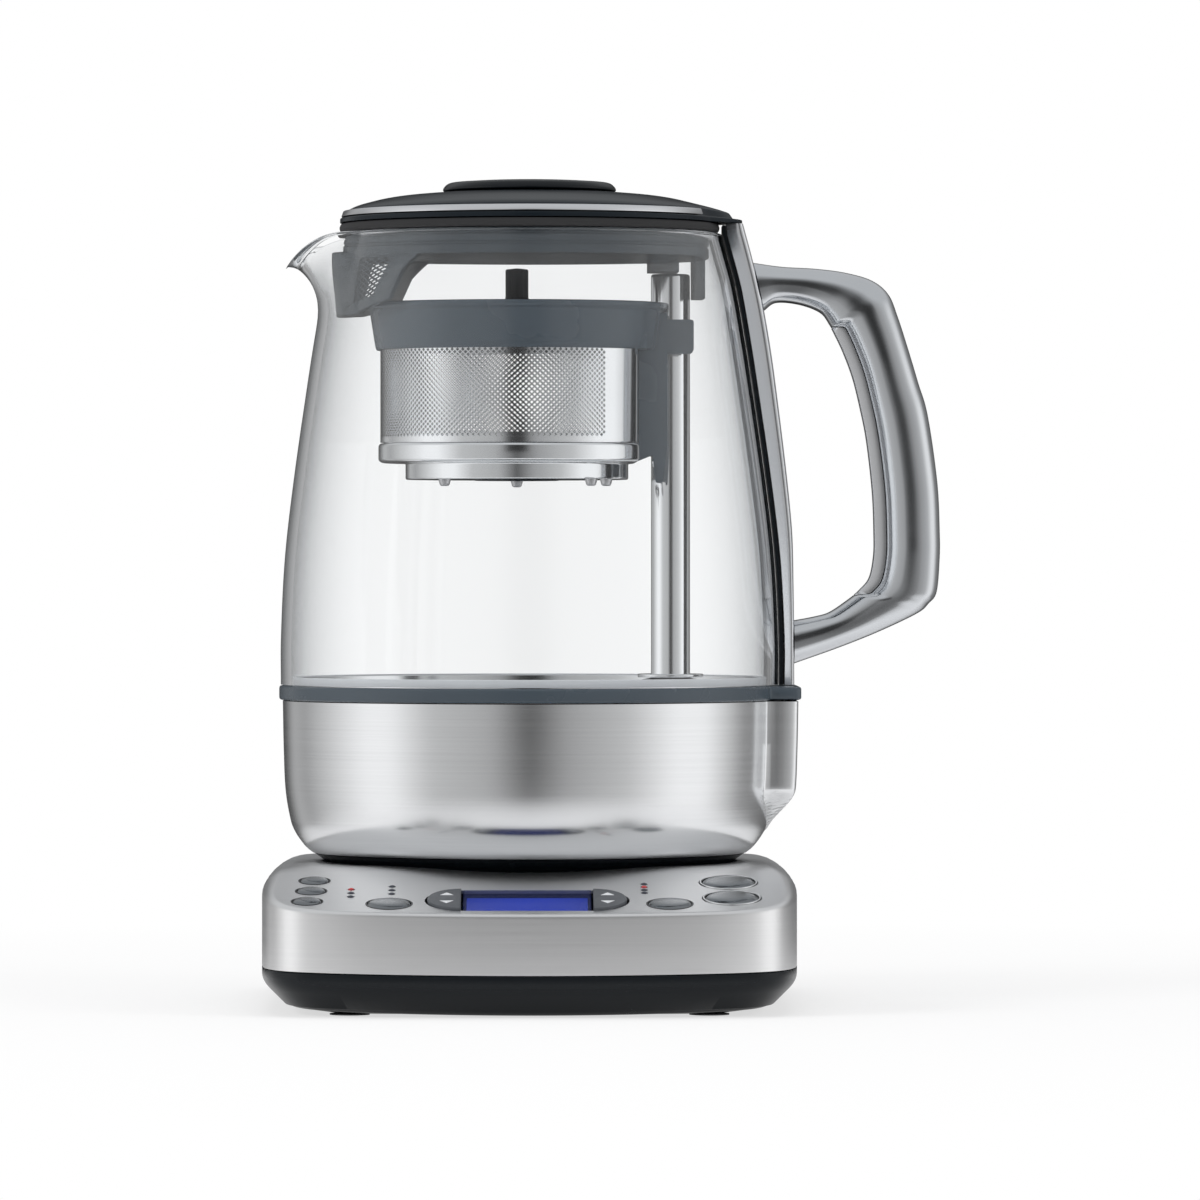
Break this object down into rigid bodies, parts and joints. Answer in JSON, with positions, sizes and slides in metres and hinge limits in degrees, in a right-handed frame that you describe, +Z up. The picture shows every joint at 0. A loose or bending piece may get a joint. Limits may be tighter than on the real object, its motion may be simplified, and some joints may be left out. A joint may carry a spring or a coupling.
{
  "type": "automatic tea maker",
  "caption": "Electric tea maker: glass jug with a motor-lifted tea basket on a heated steel body, with lift-off lid, loop handle and power base with display, keys and buttons.",
  "frame": {"origin": "on the floor, under the middle of the outline seen from above; the jug's axis stands at x -0.0228, y 0.015", "axes": "+Z up, -Y towards the control panel, +X towards the handle"},
  "size_m": [0.2086, 0.2, 0.2536],
  "materials": {
    "black_plastic": "smooth black",
    "dark_plastic": "satin dark grey",
    "grey_plastic": "satin blue grey",
    "smoked_plastic": "translucent grey",
    "clear_window": "clear window",
    "rubber": "matte",
    "silicone": "matte",
    "brushed_steel": "brushed along the sides",
    "polished_steel": "polished",
    "satin_insert": "satin",
    "screw_steel": "plain",
    "cast_handle": "polished",
    "copper": "plain",
    "magnet": "plain",
    "circuit_board": "lacquered",
    "blue_display": "lit blue",
    "light_guide": "tinted",
    "clear_glass": "clear"
  },
  "bodies": {
    "power_base": {"base_tray": "black_plastic", "base_shell": "brushed_steel", "seat_ring": "black_plastic", "base_connector": "dark_plastic", "foot_front_left": "rubber", "foot_front_right": "rubber", "foot_back_left": "rubber", "foot_back_right": "rubber", "tray_screw_1": "screw_steel", "tray_screw_2": "screw_steel", "tray_screw_3": "screw_steel", "tray_screw_4": "screw_steel", "cord_gland": "dark_plastic", "control_carrier": "black_plastic", "control_board": "circuit_board", "power_board": "circuit_board", "display_window": "clear_window", "lcd_panel": "blue_display", "hot_water_ring": "polished_steel", "start_cancel_ring": "polished_steel", "tea_type_lights": "light_guide", "strength_lights": "light_guide"},
    "auto_start": {"auto_start_button": "brushed_steel"},
    "keep_warm": {"keep_warm_button": "brushed_steel"},
    "basket_key": {"basket_button": "brushed_steel"},
    "tea_type": {"tea_type_button": "brushed_steel"},
    "strength": {"strength_button": "brushed_steel"},
    "hot_water": {"hot_water_button": "brushed_steel"},
    "start_cancel": {"start_cancel_button": "brushed_steel"},
    "left_key": {"left_rocker": "grey_plastic"},
    "right_key": {"right_rocker": "grey_plastic"},
    "jug_plug": {"jug_coupler": "dark_plastic"},
    "jug": {"jug_glass": "clear_glass", "glass_seal": "silicone", "collar_ring": "grey_plastic", "body_shell": "brushed_steel", "body_bottom": "black_plastic", "heater_plate": "polished_steel", "heating_element": "copper", "temperature_sensor": "dark_plastic", "lift_post": "polished_steel", "lift_motor": "magnet", "handle_spine": "polished_steel", "spine_strip": "black_plastic", "handle_grip": "cast_handle", "handle_insert": "satin_insert", "handle_screw": "screw_steel"},
    "screw": {"lead_screw": "screw_steel"},
    "carriage": {"magnet_carriage": "magnet"},
    "basket": {"basket_collar": "grey_plastic", "basket_wall": "polished_steel", "basket_floor": "polished_steel", "basket_magnet": "magnet"},
    "basket_cover": {"basket_lid": "polished_steel", "basket_lid_knob": "black_plastic"},
    "lid": {"lid_dome": "dark_plastic", "lid_trim": "polished_steel", "lid_knob": "black_plastic", "lid_seal": "rubber", "lid_skirt": "smoked_plastic"}
  },
  "joints": [
    {"name": "auto_start_press", "type": "slide", "parent": "power_base", "child": "auto_start", "axis": [0, 0.2045, -0.9789], "range_m": [0, 0.001], "stiffness_N_per_m": 400, "springref_m": -0.002},
    {"name": "keep_warm_press", "type": "slide", "parent": "power_base", "child": "keep_warm", "axis": [0, 0.2045, -0.9789], "range_m": [0, 0.001], "stiffness_N_per_m": 400, "springref_m": -0.002},
    {"name": "basket_press", "type": "slide", "parent": "power_base", "child": "basket_key", "axis": [0, 0.2045, -0.9789], "range_m": [0, 0.001], "stiffness_N_per_m": 400, "springref_m": -0.002},
    {"name": "tea_type_press", "type": "slide", "parent": "power_base", "child": "tea_type", "axis": [0, 0.2045, -0.9789], "range_m": [0, 0.001], "stiffness_N_per_m": 500, "springref_m": -0.002},
    {"name": "strength_press", "type": "slide", "parent": "power_base", "child": "strength", "axis": [0, 0.2045, -0.9789], "range_m": [0, 0.001], "stiffness_N_per_m": 500, "springref_m": -0.002},
    {"name": "hot_water_press", "type": "slide", "parent": "power_base", "child": "hot_water", "axis": [0, 0.2045, -0.9789], "range_m": [0, 0.001], "stiffness_N_per_m": 600, "springref_m": -0.002},
    {"name": "start_cancel_press", "type": "slide", "parent": "power_base", "child": "start_cancel", "axis": [0, 0.2045, -0.9789], "range_m": [0, 0.001], "stiffness_N_per_m": 600, "springref_m": -0.002},
    {"name": "left_key_tilt", "type": "hinge", "parent": "power_base", "child": "left_key", "pos_m": [-0.0483, -0.08326, 0.03399], "axis": [1, 0, 0], "range_deg": [-2.5, 2.5], "stiffness_Nm_per_rad": 0.3},
    {"name": "right_key_tilt", "type": "hinge", "parent": "power_base", "child": "right_key", "pos_m": [0.0013, -0.08326, 0.03399], "axis": [1, 0, 0], "range_deg": [-2.5, 2.5], "stiffness_Nm_per_rad": 0.3},
    {"name": "jug_lift", "type": "slide", "parent": "power_base", "child": "jug_plug", "axis": [0, 0, 1], "range_m": [0, 0.06]},
    {"name": "jug_turn", "type": "hinge", "parent": "jug_plug", "child": "jug", "pos_m": [-0.0228, 0.015, 0.045], "axis": [0, 0, 1], "continuous": true},
    {"name": "basket_lift", "type": "slide", "parent": "jug", "child": "basket", "axis": [0, 0, 1], "range_m": [-0.055, 0]},
    {"name": "screw_turn", "type": "hinge", "parent": "jug", "child": "screw", "pos_m": [0.0209, 0.015, 0.15], "axis": [0, 0, 1], "range_deg": [0, 1240]},
    {"name": "carriage_travel", "type": "slide", "parent": "jug", "child": "carriage", "axis": [0, 0, 1], "range_m": [-0.055, 0]},
    {"name": "basket_cover_lift", "type": "slide", "parent": "basket", "child": "basket_cover", "axis": [0, 0, 1], "range_m": [0, 0.011]},
    {"name": "lid_lift", "type": "slide", "parent": "jug", "child": "lid", "axis": [0, 0, 1], "range_m": [0, 0.045]}
  ],
  "couplings": [
    {"joint": "screw_turn", "follows": "basket_lift", "rad_per_m": -392.7},
    {"joint": "carriage_travel", "follows": "basket_lift", "ratio": 1}
  ]
}
